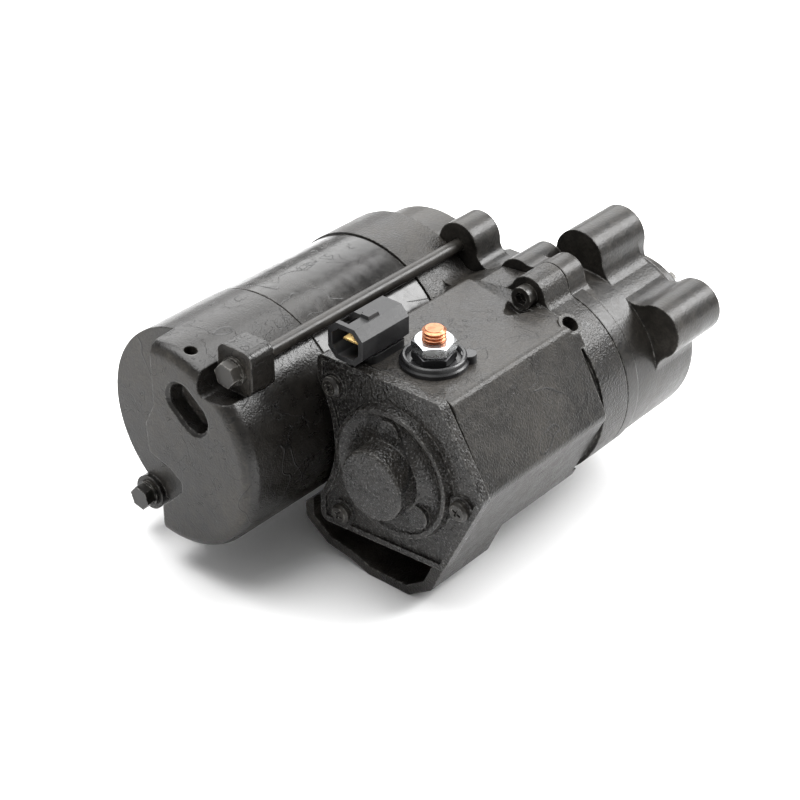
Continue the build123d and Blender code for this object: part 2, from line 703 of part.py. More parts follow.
with BuildPart() as battery_nut:
    nut(Plane.XY.offset(NUT_SEAT + 3.3), (STUD_X, 0), 13, 4.05, 4.0)
finish(battery_nut, "battery_nut")

with BuildPart() as stud_insulator:
    axis = Plane(origin=(STUD_X, 0, 0), x_dir=(1, 0, 0), z_dir=(0, -1, 0))
    revolve(half_section([
        (4.1, CONTACT_TOP + 0.1), (6, CONTACT_TOP + 0.1), (6, TOP_Z), (11.5, TOP_Z), (11.5, 33.9),
        (10.9, 34.5), (10.7, 35.7), (10.2, 36.1), (9.5, 35.9), (9.0, 35.1), (8.8, NUT_SEAT - 0.1),
        (4.1, NUT_SEAT - 0.1)], axis),
        Axis((STUD_X, 0, 0), (0, 0, 1)))
    with BuildSketch(Plane.XY.offset(TOP_Z)) as tab:
        with Locations((STUD_X + 8.0, -8.0)):
            Circle(2.6)
    extrude(tab.sketch, amount=3)
finish(stud_insulator, "stud_insulator")

LOW_NUT = -35.6
with BuildPart() as motor_stud:
    extrude(hexagon(Plane.XY.offset(-CONTACT_SEAT), 10, (TERMINAL_X, 0), 30), amount=3.5)
    extrude(spots(Plane.XY.offset(-CONTACT_SEAT), [(TERMINAL_X, 0)], 3), amount=LOW_NUT + CONTACT_SEAT)
    axis = Plane(origin=(TERMINAL_X, 0, 0), x_dir=(1, 0, 0), z_dir=(0, -1, 0))
    revolve(half_section(threaded_half(-LOW_NUT, 44.2, 3.0, 1.0, -1), axis),
            Axis((TERMINAL_X, 0, 0), (0, 0, 1)))
finish(motor_stud, "motor_stud")

with BuildPart() as motor_stud_insulator:
    axis = Plane(origin=(TERMINAL_X, 0, 0), x_dir=(1, 0, 0), z_dir=(0, -1, 0))
    revolve(half_section([
        (3.1, -CONTACT_TOP - 0.1), (5, -CONTACT_TOP - 0.1), (5, -31.6), (7.5, -31.6), (7.5, -33.2),
        (3.1, -33.2)], axis), Axis((TERMINAL_X, 0, 0), (0, 0, 1)))
finish(motor_stud_insulator, "motor_stud_insulator")

with BuildPart() as motor_stud_nut:
    nut(Plane(origin=(0, 0, LOW_NUT - 0.05), x_dir=(1, 0, 0), z_dir=(0, 0, -1)), (TERMINAL_X, 0), 10, 3.05, 5)
finish(motor_stud_nut, "motor_stud_nut")

LUG_TOP = -33.3
LEAD_R = 2.6
with BuildPart() as motor_lead:
    with BuildSketch(Plane.XY.offset(LUG_TOP)) as lug:
        with Locations((TERMINAL_X, 0)):
            Circle(6.2)
        with Locations((TERMINAL_X, 6)):
            Rectangle(6, 8)
        with Locations((TERMINAL_X, 0)):
            Circle(3.05, mode=Mode.SUBTRACT)
    extrude(lug.sketch, amount=-1.6)
    with BuildLine() as lead_route:
        FilletPolyline((TERMINAL_X, 9.5, -34.6), (TERMINAL_X, 21, -38.2), (TERMINAL_X, 31.2, -32.4),
                       (TERMINAL_X, 41.6, -22.6), radius=8)
    with BuildSketch(Plane(origin=lead_route.line @ 0, z_dir=lead_route.line % 0)) as wire:
        Circle(LEAD_R)
    sweep(wire.sketch, path=lead_route.line)
finish(motor_lead, "motor_lead")

# ==== housings ============================================================================
WALL_FRONT = -68.0
BOSS_BACK = -57.0
BODY_SECTION = [(29, TOP_Z), (-19.8, TOP_Z), (-36.2, 3.2), (-21.2, -29.2), (27, -31.8)]
BRIDGE = [(-6, 30), (2, 34), (12, 34.5), (22, 33.5), (31, 29), (37, 25.5), (52, 20),
          (52, -20), (37, -27), (26, -35), (6, -36), (-6, -30)]
DRIVE_WEB = [(-6, 28), (16, 33), (26, 29.5), (33, 29.5), (46, 24), (52, 20),
             (52, -20), (46, -24), (33, -29.5), (22, -33), (6, -34), (-6, -28)]
SHROUD = [(-24, -22), (-15, -42.5), (-5, -49.3), (13, -49.6), (21, -46.8), (32, -45.2), (42, -38), (42, -22)]
SHROUD_ROOM = [(-17, -28), (-11.5, -40.4), (-3.8, -45.8), (12.2, -46.2), (20.4, -43.4), (30.8, -41.8),
               (38.6, -36.2), (38.6, -20), (30.4, -20), (30.4, -28)]
CASE_TOP_R = 38.6
CENTRE_DISCS = [((0, 0), RIM_R), ((MOTOR_Y, 0), CASE_TOP_R), *[(at, JOINT_BOSS_R) for at in JOINT_BOSSES]]
DRIVE_DISCS = [((0, 0), DRIVE_R), ((MOTOR_Y, 0), 34), ((16, 30), 8)]
BOLT_BOSSES = [(at, 8.6) for at in THROUGH_BOLTS]
DRIVE_STEPS = (
    # (front station, discs that reach it)
    (CASE_FRONT, DRIVE_DISCS),
    (-30.0, DRIVE_DISCS + BOLT_BOSSES),
    (-34.0, DRIVE_DISCS + BOLT_BOSSES + [(at, JOINT_BOSS_R) for at in JOINT_BOSSES]),
)
EARS = [(at, EAR_R) for at in EAR_HOLES]


COVER_SECTION = [(33, 32.8), (-18.6, 33.6), (-37.4, 4), (-21.4, -30.2), (33, -34)]


def cover_face(plane, inset=0):
    """The cover's outline: five sides, the motor side hollowed to clear the yoke."""
    with BuildSketch(plane) as face:
        with BuildLine():
            Polyline(*COVER_SECTION, close=True)
        make_face()
        with Locations((MOTOR_Y, 0)):
            Circle(SADDLE_R + 0.4, mode=Mode.SUBTRACT)
        fillet(face.vertices(), 3)
        if inset:
            offset(amount=-inset, kind=Kind.ARC)
    return face.sketch


with BuildPart() as centre_housing:
    # a hanging guard around the motor terminal, open to the rear
    extrude(outline(PINION.offset(-127), SHROUD, 3), amount=30)
    extrude(outline(PINION.offset(-128), SHROUD_ROOM, 2), amount=28, mode=Mode.SUBTRACT)
    extrude(cover_face(PINION.offset(-130), -0.3), amount=130 + BODY_REAR, mode=Mode.SUBTRACT)
    extrude(outline(PINION.offset(BODY_REAR), BODY_SECTION, 3), amount=RIM_REAR - BODY_REAR)
    extrude(ring(MOTOR.offset(-130), SADDLE_R), amount=130 + YOKE_FRONT, mode=Mode.SUBTRACT)
    # a groove between the body's flat side and the rim
    with BuildSketch(PINION.offset(RIM_REAR - 2.5)) as side_groove:
        with Locations((-30, 0)):
            Rectangle(30, 50)
        Circle(RIM_R - 1.4, mode=Mode.SUBTRACT)
    extrude(side_groove.sketch, amount=2.5, mode=Mode.SUBTRACT)
    # rim, bridge and motor flange
    extrude(ring(PINION.offset(RIM_REAR), RIM_R), amount=SEAM - RIM_REAR)
    extrude(outline(PINION.offset(BOSS_BACK), BRIDGE, 3), amount=-7, taper=25)
    extrude(ring(MOTOR.offset(YOKE_FRONT), CASE_TOP_R), amount=SEAM - YOKE_FRONT)
    extrude(casting_face(PINION.offset(BOSS_BACK), CENTRE_DISCS, BRIDGE, 5), amount=SEAM - BOSS_BACK)
    seam_face = centre_housing.faces().filter_by(Axis.X).sort_by(Axis.X)[-1]
    chamfer(seam_face.outer_wire().edges(), GROOVE)
    extrude(ring(MOTOR.offset(YOKE_FRONT - 3), YOKE_BORE - 0.3, 29), amount=3)
    extrude(ring(MOTOR.offset(YOKE_FRONT - 2.5), 16.5), amount=3)
    # a scalloped way in and a close recess for each joint screw's head
    extrude(spots(PINION.offset(-61.2), JOINT_SCREWS, 6), amount=-8, taper=22, mode=Mode.SUBTRACT)
    extrude(spots(PINION.offset(-61.3), JOINT_SCREWS, 4.4), amount=BOSS_BACK + 61.3, mode=Mode.SUBTRACT)
    # solenoid bore, rod hole and bearing seats
    extrude(ring(PINION.offset(BODY_REAR - 4), SOLENOID_BORE), amount=-72.5 - BODY_REAR + 4,
            mode=Mode.SUBTRACT)
    extrude(ring(PINION.offset(-73), 3.5), amount=6, mode=Mode.SUBTRACT)
    extrude(ring(PINION.offset(WALL_FRONT), 14), amount=10, mode=Mode.SUBTRACT)
    extrude(ring(MOTOR.offset(YOKE_FRONT - 3), 13), amount=5.8 + 3, mode=Mode.SUBTRACT)
    extrude(ring(MOTOR.offset(-61), 10), amount=3, mode=Mode.SUBTRACT)
    # gear room
    with BuildSketch(PINION.offset(-59.5)) as gear_room:
        Circle(GEAR_ROOM_R)
        with Locations((IDLER_Y, 0)):
            Circle(IDLER_ROOM_R)
        with Locations((MOTOR_Y, 0)):
            Circle(PINION_ROOM_R)
    extrude(gear_room.sketch, amount=20, mode=Mode.SUBTRACT)
    extrude(ring(IDLER.offset(-63.1), IDLER_PIN_R), amount=5, mode=Mode.SUBTRACT)
    # terminal holes
    extrude(spots(Plane.XY.offset(10), [(STUD_X, 0)], 6.05), amount=30, mode=Mode.SUBTRACT)
    extrude(spots(Plane.XY.offset(-36), [(TERMINAL_X, 0)], 5.05), amount=20, mode=Mode.SUBTRACT)
    extrude(spots(Plane.XY.offset(14), [(-113, 19.5)], 3), amount=20, mode=Mode.SUBTRACT)
    # a drilled hole with a raised lip, at the corner of the body and the rim
    corner = Plane(origin=(-59.4, -18.0, 31.6), x_dir=(1, 0, 0), z_dir=(0, -0.5, 0.86))
    extrude(ring(corner.offset(-3), 4.3), amount=3.7)
    extrude(ring(corner.offset(-4), 3.0), amount=9, mode=Mode.SUBTRACT)
    # fastener holes
    extrude(spots(PINION.offset(BODY_REAR - 1), COVER_SCREWS, 2.5), amount=14, mode=Mode.SUBTRACT)
    extrude(spots(PINION.offset(-60), JOINT_SCREWS, 2.7), amount=20, mode=Mode.SUBTRACT)
finish(centre_housing, "centre_housing")

with BuildPart() as drive_housing:
    for front, discs in DRIVE_STEPS:
        extrude(casting_face(PINION.offset(SEAM), discs, DRIVE_WEB, 5), amount=front - SEAM)
    extrude(ring(PINION.offset(SEAM), RIM_R), amount=6)
    # the barrel, its front edge rounded, and the mounting ears
    with BuildSketch() as barrel:
        with BuildLine():
            Polyline((-FRONT_ROUND, DRIVE_R), (SEAM + 1, DRIVE_R), (SEAM + 1, 0), (0, 0),
                     (0, DRIVE_R - FRONT_ROUND))
            RadiusArc((0, DRIVE_R - FRONT_ROUND), (-FRONT_ROUND, DRIVE_R), -FRONT_ROUND)
        make_face()
    revolve(barrel.sketch, Axis.X)
    extrude(casting_face(PINION.offset(CASE_FRONT), [((0, 0), DRIVE_R - 0.05), *EARS], None, 9),
            amount=-CASE_FRONT - FRONT_ROUND)
    extrude(casting_face(PINION.offset(CASE_FRONT), [((0, 0), DRIVE_R - FRONT_ROUND), *EARS], None, 9),
            amount=-CASE_FRONT)
    extrude(ring(PINION, PILOT_R), amount=PILOT_LENGTH)
    # clutch room, bearing seat and seal seat
    extrude(ring(PINION.offset(SEAM), 29.5), amount=-14 - SEAM, mode=Mode.SUBTRACT)
    extrude(ring(PINION.offset(-15), 18.5), amount=12, mode=Mode.SUBTRACT)
    extrude(ring(PINION.offset(-4), 13), amount=20, mode=Mode.SUBTRACT)
    extrude(ring(PINION.offset(2.5), 16), amount=20, mode=Mode.SUBTRACT)
    # hollow behind the motor-side cover and the idler pin's seat
    extrude(ring(MOTOR.offset(SEAM), 17), amount=12, mode=Mode.SUBTRACT)
    extrude(ring(IDLER.offset(SEAM), IDLER_PIN_R), amount=4.6, mode=Mode.SUBTRACT)
    # holes
    extrude(spots(PINION.offset(-EAR_HOLE_DEPTH), EAR_HOLES, EAR_HOLE_R), amount=EAR_HOLE_DEPTH,
            mode=Mode.SUBTRACT)
    extrude(spots(PINION.offset(SEAM), THROUGH_BOLTS, 2.5), amount=12, mode=Mode.SUBTRACT)
    extrude(spots(PINION.offset(SEAM), JOINT_SCREWS, 2.5), amount=8, mode=Mode.SUBTRACT)
finish(drive_housing, "drive_housing")

# ==== solenoid cover =======================================================================
HEAD_SEAT = COVER_REAR
DISH_RIM = COVER_REAR - 2.2
DISH_TOP = COVER_REAR - 3.2
DISH_PADS = (polar(16.4, 90), polar(16.4, 222))
with BuildPart() as solenoid_cover:
    extrude(cover_face(PINION.offset(COVER_REAR)), amount=COVER_THICK)
    extrude(cover_face(PINION.offset(COVER_REAR), 2.2), amount=1.1, mode=Mode.SUBTRACT)
    floor = COVER_REAR + 1.1
    with BuildSketch() as dish:
        with BuildLine():
            Polyline((DISH_RIM, 22), (DISH_RIM, 23.4), (floor, 24.4), (floor, 0), (BOSS_REAR, 0),
                     (BOSS_REAR, 11.9), (BOSS_REAR + 0.7, 12.6), (DISH_TOP, 12.8))
            ThreePointArc((DISH_TOP, 12.8), (COVER_REAR - 1, 17), (DISH_RIM, 22))
        make_face()
    revolve(dish.sketch, Axis.X)
    # two low pads beside the boss, and the screws' pads
    extrude(spots(PINION.offset(COVER_REAR - 2.9), DISH_PADS, 4.4), amount=3.9)
    extrude(spots(PINION.offset(HEAD_SEAT), COVER_SCREWS, 4.9), amount=floor - HEAD_SEAT + 0.1)
    extrude(ring(PINION.offset(-137.5), 9.5), amount=14, mode=Mode.SUBTRACT)
    extrude(spots(PINION.offset(COVER_REAR - 4), COVER_SCREWS, 2.7), amount=10, mode=Mode.SUBTRACT)
finish(solenoid_cover, "solenoid_cover")

with BuildPart() as cover_gasket:
    extrude(cover_face(PINION.offset(COVER_REAR + COVER_THICK), 0.8), amount=GASKET_THICK)
    extrude(ring(PINION.offset(COVER_REAR), SOLENOID_BORE), amount=10, mode=Mode.SUBTRACT)
    extrude(spots(PINION.offset(COVER_REAR), COVER_SCREWS, 2.7), amount=10, mode=Mode.SUBTRACT)
finish(cover_gasket, "cover_gasket")

# ==== fasteners ============================================================================
with BuildPart() as cover_screws:
    extrude(spots(PINION.offset(HEAD_SEAT - 2.3), COVER_SCREWS, 3.7), amount=2.3)
    chamfer(cover_screws.edges().filter_by(GeomType.CIRCLE).group_by(Axis.X)[0], 0.9)
    extrude(spots(PINION.offset(HEAD_SEAT), COVER_SCREWS, 2.4), amount=15)
    with BuildSketch(PINION.offset(HEAD_SEAT - 2.4)) as cross:
        with Locations(*COVER_SCREWS):
            Rectangle(3.6, 0.8, rotation=25)
            Rectangle(3.6, 0.8, rotation=115)
    extrude(cross.sketch, amount=0.9, mode=Mode.SUBTRACT)
finish(cover_screws, "cover_screws")

with BuildPart() as joint_screws:
    extrude(spots(PINION.offset(-61), JOINT_SCREWS, 4.1), amount=4)
    extrude(spots(PINION.offset(-57.1), JOINT_SCREWS, 2.45), amount=20.6)
    with BuildSketch(PINION.offset(-61)) as sockets:
        with Locations(*JOINT_SCREWS):
            RegularPolygon(2.1, 6, major_radius=False)
    extrude(sockets.sketch, amount=2.4, mode=Mode.SUBTRACT)
finish(joint_screws, "joint_screws")

BOLT_HEAD = 5.0
with BuildPart() as through_bolts:
    extrude(spots(PINION.offset(EAR_BACK - 1.2), THROUGH_BOLTS, 4.9), amount=1.2)
    with BuildSketch(PINION.offset(EAR_BACK - BOLT_HEAD)) as heads:
        with Locations(*THROUGH_BOLTS):
            RegularPolygon(3.9, 6, major_radius=False, rotation=10)
    extrude(heads.sketch, amount=BOLT_HEAD)
    extrude(spots(PINION.offset(EAR_BACK), THROUGH_BOLTS, 2.45), amount=-32 - EAR_BACK)
finish(through_bolts, "through_bolts")

# ==== seal and control connector ===========================================================
with BuildPart() as output_seal:
    revolve(half_section([
        (2.6, 10.4), (2.6, 15.95), (8.4, 15.95), (8.4, 14.2), (6.8, 13.4), (6.2, 10.8), (4.6, 10.05),
        (3.6, 10.4)]), Axis.X)
finish(output_seal, "output_seal")

PLUG_REAR = -130.0
PLUG_FRONT = -107.0
PLUG_Y = (12.2, 27.0)
PLUG_Z = (34.6, 48.0)


def plug_face(plane, inset=0):
    wide = PLUG_Y[1] - PLUG_Y[0] - 2 * inset
    tall = PLUG_Z[1] - PLUG_Z[0] - 2 * inset
    with BuildSketch(plane) as face:
        with Locations(((PLUG_Y[0] + PLUG_Y[1]) / 2, (PLUG_Z[0] + PLUG_Z[1]) / 2)):
            Rectangle(wide, tall)
        chamfer(face.vertices(), 3.4 - 0.5 * inset)
    return face.sketch


with BuildPart() as control_connector:
    extrude(plug_face(PINION.offset(PLUG_REAR)), amount=PLUG_FRONT - PLUG_REAR)
    extrude(plug_face(PINION.offset(PLUG_REAR), 1.8), amount=15, mode=Mode.SUBTRACT)
    # foot that stands on the housing, with its spigot
    with BuildSketch(Plane.XY.offset(TOP_Z + 0.05)) as foot:
        with Locations((-115, 19.5)):
            RectangleRounded(17, 12, 2)
    extrude(foot.sketch, amount=3)
    extrude(spots(Plane.XY.offset(27), [(-113, 19.5)], 2.95), amount=6)
    # latch bump, and the window on the motor's side of it
    with BuildSketch(Plane.XY.offset(PLUG_Z[1])) as latch:
        with Locations((-119.8, 18.2)):
            Rectangle(5.4, 4.4)
    extrude(latch.sketch, amount=1.3, taper=14)
    with BuildSketch(Plane.XY.offset(PLUG_Z[1] - 4)) as window:
        with Locations((-124.6, 22.6)):
            Rectangle(7, 6)
    extrude(window.sketch, amount=6, mode=Mode.SUBTRACT)
    with BuildSketch(PINION.offset(PLUG_REAR)) as blade_slot:
        with Locations((19.6, 41.3)):
            Rectangle(6.5, 0.9)
    extrude(blade_slot.sketch, amount=20, mode=Mode.SUBTRACT)
finish(control_connector, "control_connector")

with BuildPart() as control_blade:
    with BuildSketch(PINION.offset(-127.5)) as blade:
        with Locations((19.6, 41.3)):
            Rectangle(6.3, 0.8)
    extrude(blade.sketch, amount=16)
    chamfer(control_blade.edges().filter_by(Axis.Y).group_by(Axis.X)[0], 0.3)
finish(control_blade, "control_blade")
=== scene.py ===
"""The looks of an offset gear-reduction starter motor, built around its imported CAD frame."""
import json

import bpy
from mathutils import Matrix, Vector


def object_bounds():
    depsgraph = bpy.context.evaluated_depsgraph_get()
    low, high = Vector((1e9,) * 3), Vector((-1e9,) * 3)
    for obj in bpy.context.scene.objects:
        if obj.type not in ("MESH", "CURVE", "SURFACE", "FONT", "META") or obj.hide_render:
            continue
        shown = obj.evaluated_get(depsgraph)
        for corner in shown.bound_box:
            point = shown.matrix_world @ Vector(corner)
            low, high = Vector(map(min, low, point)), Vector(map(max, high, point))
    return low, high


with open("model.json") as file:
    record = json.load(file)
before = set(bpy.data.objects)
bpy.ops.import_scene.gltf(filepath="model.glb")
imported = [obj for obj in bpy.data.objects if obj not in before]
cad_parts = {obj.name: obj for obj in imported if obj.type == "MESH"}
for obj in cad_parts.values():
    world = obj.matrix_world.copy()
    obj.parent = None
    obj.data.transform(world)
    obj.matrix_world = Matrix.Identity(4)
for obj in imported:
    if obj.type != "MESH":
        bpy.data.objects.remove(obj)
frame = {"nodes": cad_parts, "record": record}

MM = 0.001
CAD_BOX = [list(corner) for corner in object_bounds()]


# ---- node helpers ------------------------------------------------------------------
class Surface:
    """A procedural material under construction, in the object's own metres."""

    def __init__(self, name):
        self.material = bpy.data.materials.new(name)
        self.material.use_nodes = True
        self.tree = self.material.node_tree
        self.shader = self.tree.nodes["Principled BSDF"]
        self.place = self.node("ShaderNodeTexCoord").outputs["Object"]

    def node(self, kind, **settings):
        made = self.tree.nodes.new(kind)
        for key, value in settings.items():
            setattr(made, key, value)
        return made

    def feed(self, socket, value):
        """Links a socket to another socket, or sets it to a plain value."""
        if isinstance(value, bpy.types.NodeSocket):
            self.tree.links.new(value, socket)
        else:
            socket.default_value = value

    def stretched(self, scale):
        mapping = self.node("ShaderNodeMapping")
        self.feed(mapping.inputs["Vector"], self.place)
        self.feed(mapping.inputs["Scale"], scale)
        return mapping.outputs["Vector"]

    def noise(self, scale, detail=2.0, distortion=0.0, rough=0.5, vector=None):
        made = self.node("ShaderNodeTexNoise")
        self.feed(made.inputs["Vector"], vector or self.place)
        self.feed(made.inputs["Scale"], scale)
        self.feed(made.inputs["Detail"], detail)
        self.feed(made.inputs["Roughness"], rough)
        self.feed(made.inputs["Distortion"], distortion)
        return made.outputs["Fac"]

    def cells(self, scale, smooth):
        made = self.node("ShaderNodeTexVoronoi", feature="SMOOTH_F1")
        self.feed(made.inputs["Vector"], self.place)
        self.feed(made.inputs["Scale"], scale)
        self.feed(made.inputs["Smoothness"], smooth)
        return made.outputs["Distance"]

    def math(self, operation, a, b=0.0):
        made = self.node("ShaderNodeMath", operation=operation)
        self.feed(made.inputs[0], a)
        self.feed(made.inputs[1], b)
        return made.outputs[0]

    def fit(self, value, low, high, out_low=0.0, out_high=1.0):
        made = self.node("ShaderNodeMapRange", interpolation_type="SMOOTHSTEP")
        for number, item in enumerate((value, low, high, out_low, out_high)):
            self.feed(made.inputs[number], item)
        return made.outputs[0]

    def mix(self, share, a, b):
        made = self.node("ShaderNodeMix", data_type="RGBA")
        self.feed(made.inputs["Factor"], share)
        self.feed(made.inputs[6], a)
        self.feed(made.inputs[7], b)
        return made.outputs[2]

    def total(self, *terms):
        """The sum of (value, weight) pairs."""
        result = None
        for value, weight in terms:
            part = self.math("MULTIPLY", value, weight)
            result = part if result is None else self.math("ADD", result, part)
        return result

    def contour(self, scale, width, share, distortion=1.4):
        """Thin wandering lines, as where thick paint has run and stopped."""
        field = self.noise(scale, 2.0, distortion)
        away = self.math("ABSOLUTE", self.math("SUBTRACT", field, 0.5))
        line = self.fit(away, 0.0, width, 1.0, 0.0)
        where = self.fit(self.noise(scale * 0.9 + 7, 1.0), 0.62 - 0.3 * share, 0.66 - 0.3 * share)
        return self.math("MULTIPLY", line, where)

    def facing(self, axis):
        """1 where the face looks along an axis of the object's frame, 0 where it looks away."""
        dot = self.node("ShaderNodeVectorMath", operation="DOT_PRODUCT")
        self.feed(dot.inputs[0], self.node("ShaderNodeTexCoord").outputs["Normal"])
        self.feed(dot.inputs[1], axis)
        return self.fit(dot.outputs["Value"], 0.55, 0.9)

    def rounding(self, radius):
        made = self.node("ShaderNodeBevel", samples=6)
        self.feed(made.inputs["Radius"], radius)
        return made.outputs["Normal"]

    def edges(self, radius):
        """1 on convex and concave corners within a radius, 0 on open faces."""
        dot = self.node("ShaderNodeVectorMath", operation="DOT_PRODUCT")
        self.feed(dot.inputs[0], self.rounding(radius))
        self.feed(dot.inputs[1], self.node("ShaderNodeNewGeometry").outputs["Normal"])
        return self.fit(dot.outputs["Value"], 0.93, 0.995, 1.0, 0.0)

    def relief(self, height, radius=0.0):
        """Bump from a height in metres, over corners rounded by a radius."""
        bump = self.node("ShaderNodeBump")
        self.feed(bump.inputs["Strength"], 1.0)
        self.feed(bump.inputs["Distance"], 1.0)
        self.feed(bump.inputs["Height"], height)
        if radius:
            self.feed(bump.inputs["Normal"], self.rounding(radius))
        self.feed(self.shader.inputs["Normal"], bump.outputs["Normal"])

    def set(self, **values):
        names = {"colour": "Base Color", "metal": "Metallic", "rough": "Roughness", "coat": "Coat Weight",
                 "coat_rough": "Coat Roughness", "specular": "Specular IOR Level"}
        for key, value in values.items():
            self.feed(self.shader.inputs[names[key]], value)


def rgb(red, green, blue):
    return (red, green, blue, 1.0)


# ---- finishes ------------------------------------------------------------------------
BLACK = rgb(0.0045, 0.0041, 0.0037)
GREY_FILM = rgb(0.052, 0.046, 0.038)
# Grey for lighter corners: partly rubbed paint, partly painted highlight.
RUBBED_AND_HIGHLIGHT_GREY = rgb(0.2, 0.195, 0.18)
# Grey for painted glints on the grain of the paint.
GLINT_GREY = rgb(0.3, 0.3, 0.3)
RUN = rgb(0.003, 0.003, 0.003)
CRACK = rgb(0.002, 0.002, 0.002)


def paint(name, rough, grain, dust, edge_lightening, runs=0.0, leather=0.0, pebble=0, round_=0.5, painted_glint=0.0,
          veins=0.0, matte=None):
    """Sprayed black paint over metal.

    rough is a (low, high) pair, grain a (scale, height in mm) pair of fine roughness, dust the
    share of grey film, edge_lightening the lighter grey on corners (partly rubbed paint, partly
    painted highlight), runs the share of paint runs, leather and pebble the height in mm and the
    scale of thick paint's pebbles (painted shade in their low centres), round_ the radius in mm
    that corners look rounded by, painted_glint the share of painted glints (bright grey specks),
    veins the share of fine dark cracks, and matte the direction of the faces that stay dull and
    keep the full grey film: the others are glossy and get about a fifth of it.
    """
    s = Surface(name)
    broad = s.noise(24, 3.0, 0.3)
    mottle = s.noise(240, 5.0, 0.6, 0.65)
    film = s.total((s.fit(broad, 0.32, 0.68), 0.55), (s.fit(mottle, 0.35, 0.7), 0.45))
    film = s.math("MULTIPLY", film, dust)
    dull = s.facing(matte) if matte else 1.0
    # Faces looking along matte keep the full grey film and the others get about a fifth of it, so those faces
    # come out lighter grey.
    if matte:
        film = s.math("MULTIPLY", film, s.fit(dull, 0.0, 1.0, 0.22, 1.0))
    tone = s.mix(film, BLACK, GREY_FILM)
    # Lighter grey on corners, convex and concave: partly rubbed paint, partly painted highlight along the
    # edges.
    corner = s.edges(0.8 * MM)
    rub_and_highlight = s.math("MULTIPLY", corner, s.fit(s.noise(520, 5.0, 0.0, 0.7), 0.45, 0.62, 0.0, edge_lightening))
    tone = s.mix(rub_and_highlight, tone, RUBBED_AND_HIGHLIGHT_GREY)
    fine = s.noise(grain[0], 3.0, 0.0, 0.6)
    height = s.total((s.noise(90, 2.0), 0.3 * MM), (fine, grain[1] * MM))
    if leather:
        pebbles = s.cells(pebble, 0.9)
        height = s.math("ADD", height, s.math("MULTIPLY", pebbles, leather * MM))
        # Painted shade: the pebbles' low centres are pulled about a third of the way towards black.
        tone = s.mix(s.fit(pebbles, 0.25, 0.6, 0.35, 0.0), tone, BLACK)
    # Painted glints: bright grey specks stand in for light catching the grain.
    if painted_glint:
        glint_specks = s.fit(s.noise(1500, 1.0), 0.6, 0.68, 0.0, painted_glint)
        tone = s.mix(glint_specks, tone, GLINT_GREY)
    if runs:
        line = s.contour(19, 0.006, runs)
        height = s.math("ADD", height, s.math("MULTIPLY", line, 0.10 * MM))
        tone = s.mix(s.math("MULTIPLY", line, 0.8), tone, RUN)
    if veins:
        crack = s.contour(75, 0.011, veins, 2.2)
        height = s.math("SUBTRACT", height, s.math("MULTIPLY", crack, 0.12 * MM))
        tone = s.mix(s.math("MULTIPLY", crack, 0.85), tone, CRACK)
    gloss = s.fit(s.total((mottle, 0.6), (broad, 0.4)), 0.35, 0.65, *rough)
    if matte:
        gloss = s.math("MULTIPLY", gloss, s.fit(dull, 0.0, 1.0, 0.6, 1.0))
    s.set(colour=tone, rough=gloss, specular=0.3, coat=0.1, coat_rough=0.14)
    s.relief(height, round_ * MM)
    return s.material


def steel(name, colour, rough, lines=0.0, turned=0.0, stain=0.3, edge_lightening=0.3, metal=1.0):
    """Bare or plated metal; turned rings run round the X axis, lines run along it."""
    s = Surface(name)
    broad = s.noise(140, 5.0, 0.6, 0.6)
    fine = s.noise(1500, 3.0)
    height = s.total((fine, 0.006 * MM), (broad, 0.02 * MM))
    if turned:
        rings = s.noise(1.0, 2.0, vector=s.stretched((5200, 160, 160)))
        height = s.math("ADD", height, s.math("MULTIPLY", rings, turned * MM))
    if lines:
        brushed = s.noise(1.0, 2.0, vector=s.stretched((120, 3800, 3800)))
        height = s.math("ADD", height, s.math("MULTIPLY", brushed, lines * MM))
    dull = tuple(part * 0.45 for part in colour[:3]) + (1.0,)
    bright = tuple(min(1.0, part * 1.25) for part in colour[:3]) + (1.0,)
    tone = s.mix(s.fit(broad, 0.48, 0.75, 0.0, stain), colour, dull)
    tone = s.mix(s.math("MULTIPLY", s.edges(0.4 * MM), edge_lightening), tone, bright)
    gloss = s.fit(s.total((broad, 0.6), (fine, 0.4)), 0.3, 0.7, *rough)
    s.set(colour=tone, metal=metal, rough=gloss)
    s.relief(height, 0.15 * MM)
    return s.material


def moulded(name, colour, light, rough, texture=0.02, speckle=0.0, radius=0.25):
    """Moulded plastic, rubber or pressed board with a fine eroded skin and scuffs."""
    s = Surface(name)
    broad = s.noise(90, 4.0, 0.8)
    skin = s.noise(2600, 2.0)
    scuff = s.fit(s.noise(1.0, 4.0, 0.8, vector=s.stretched((260, 900, 420))), 0.6, 0.72)
    tone = s.mix(s.fit(broad, 0.4, 0.7, 0.0, 0.4), colour, light)
    tone = s.mix(s.math("MULTIPLY", scuff, 0.25), tone, light)
    tone = s.mix(s.math("MULTIPLY", s.edges(0.5 * MM), 0.35), tone, light)
    if speckle:
        tone = s.mix(s.fit(s.noise(1900, 1.0), 0.58, 0.64, 0.0, speckle), tone, light)
    height = s.total((skin, texture * MM), (broad, 0.05 * MM), (scuff, 0.01 * MM))
    gloss = s.fit(s.total((broad, 0.5), (skin, 0.5)), 0.3, 0.7, *rough)
    s.set(colour=tone, rough=gloss, specular=0.45)
    s.relief(height, radius * MM)
    return s.material


def windings(name):
    """Enamelled wire, layered along the coil."""
    s = Surface(name)
    wire = s.node("ShaderNodeTexWave", wave_type="BANDS", bands_direction="X", wave_profile="SIN")
    s.feed(wire.inputs["Vector"], s.place)
    s.feed(wire.inputs["Scale"], 320.0)
    s.feed(wire.inputs["Distortion"], 0.35)
    tone = s.mix(s.noise(240, 3.0), rgb(0.42, 0.14, 0.05), rgb(0.62, 0.27, 0.1))
    s.set(colour=tone, metal=0.75, rough=0.3, coat=0.8, coat_rough=0.1)
    s.relief(s.math("MULTIPLY", wire.outputs["Fac"], 0.25 * MM))
    return s.material


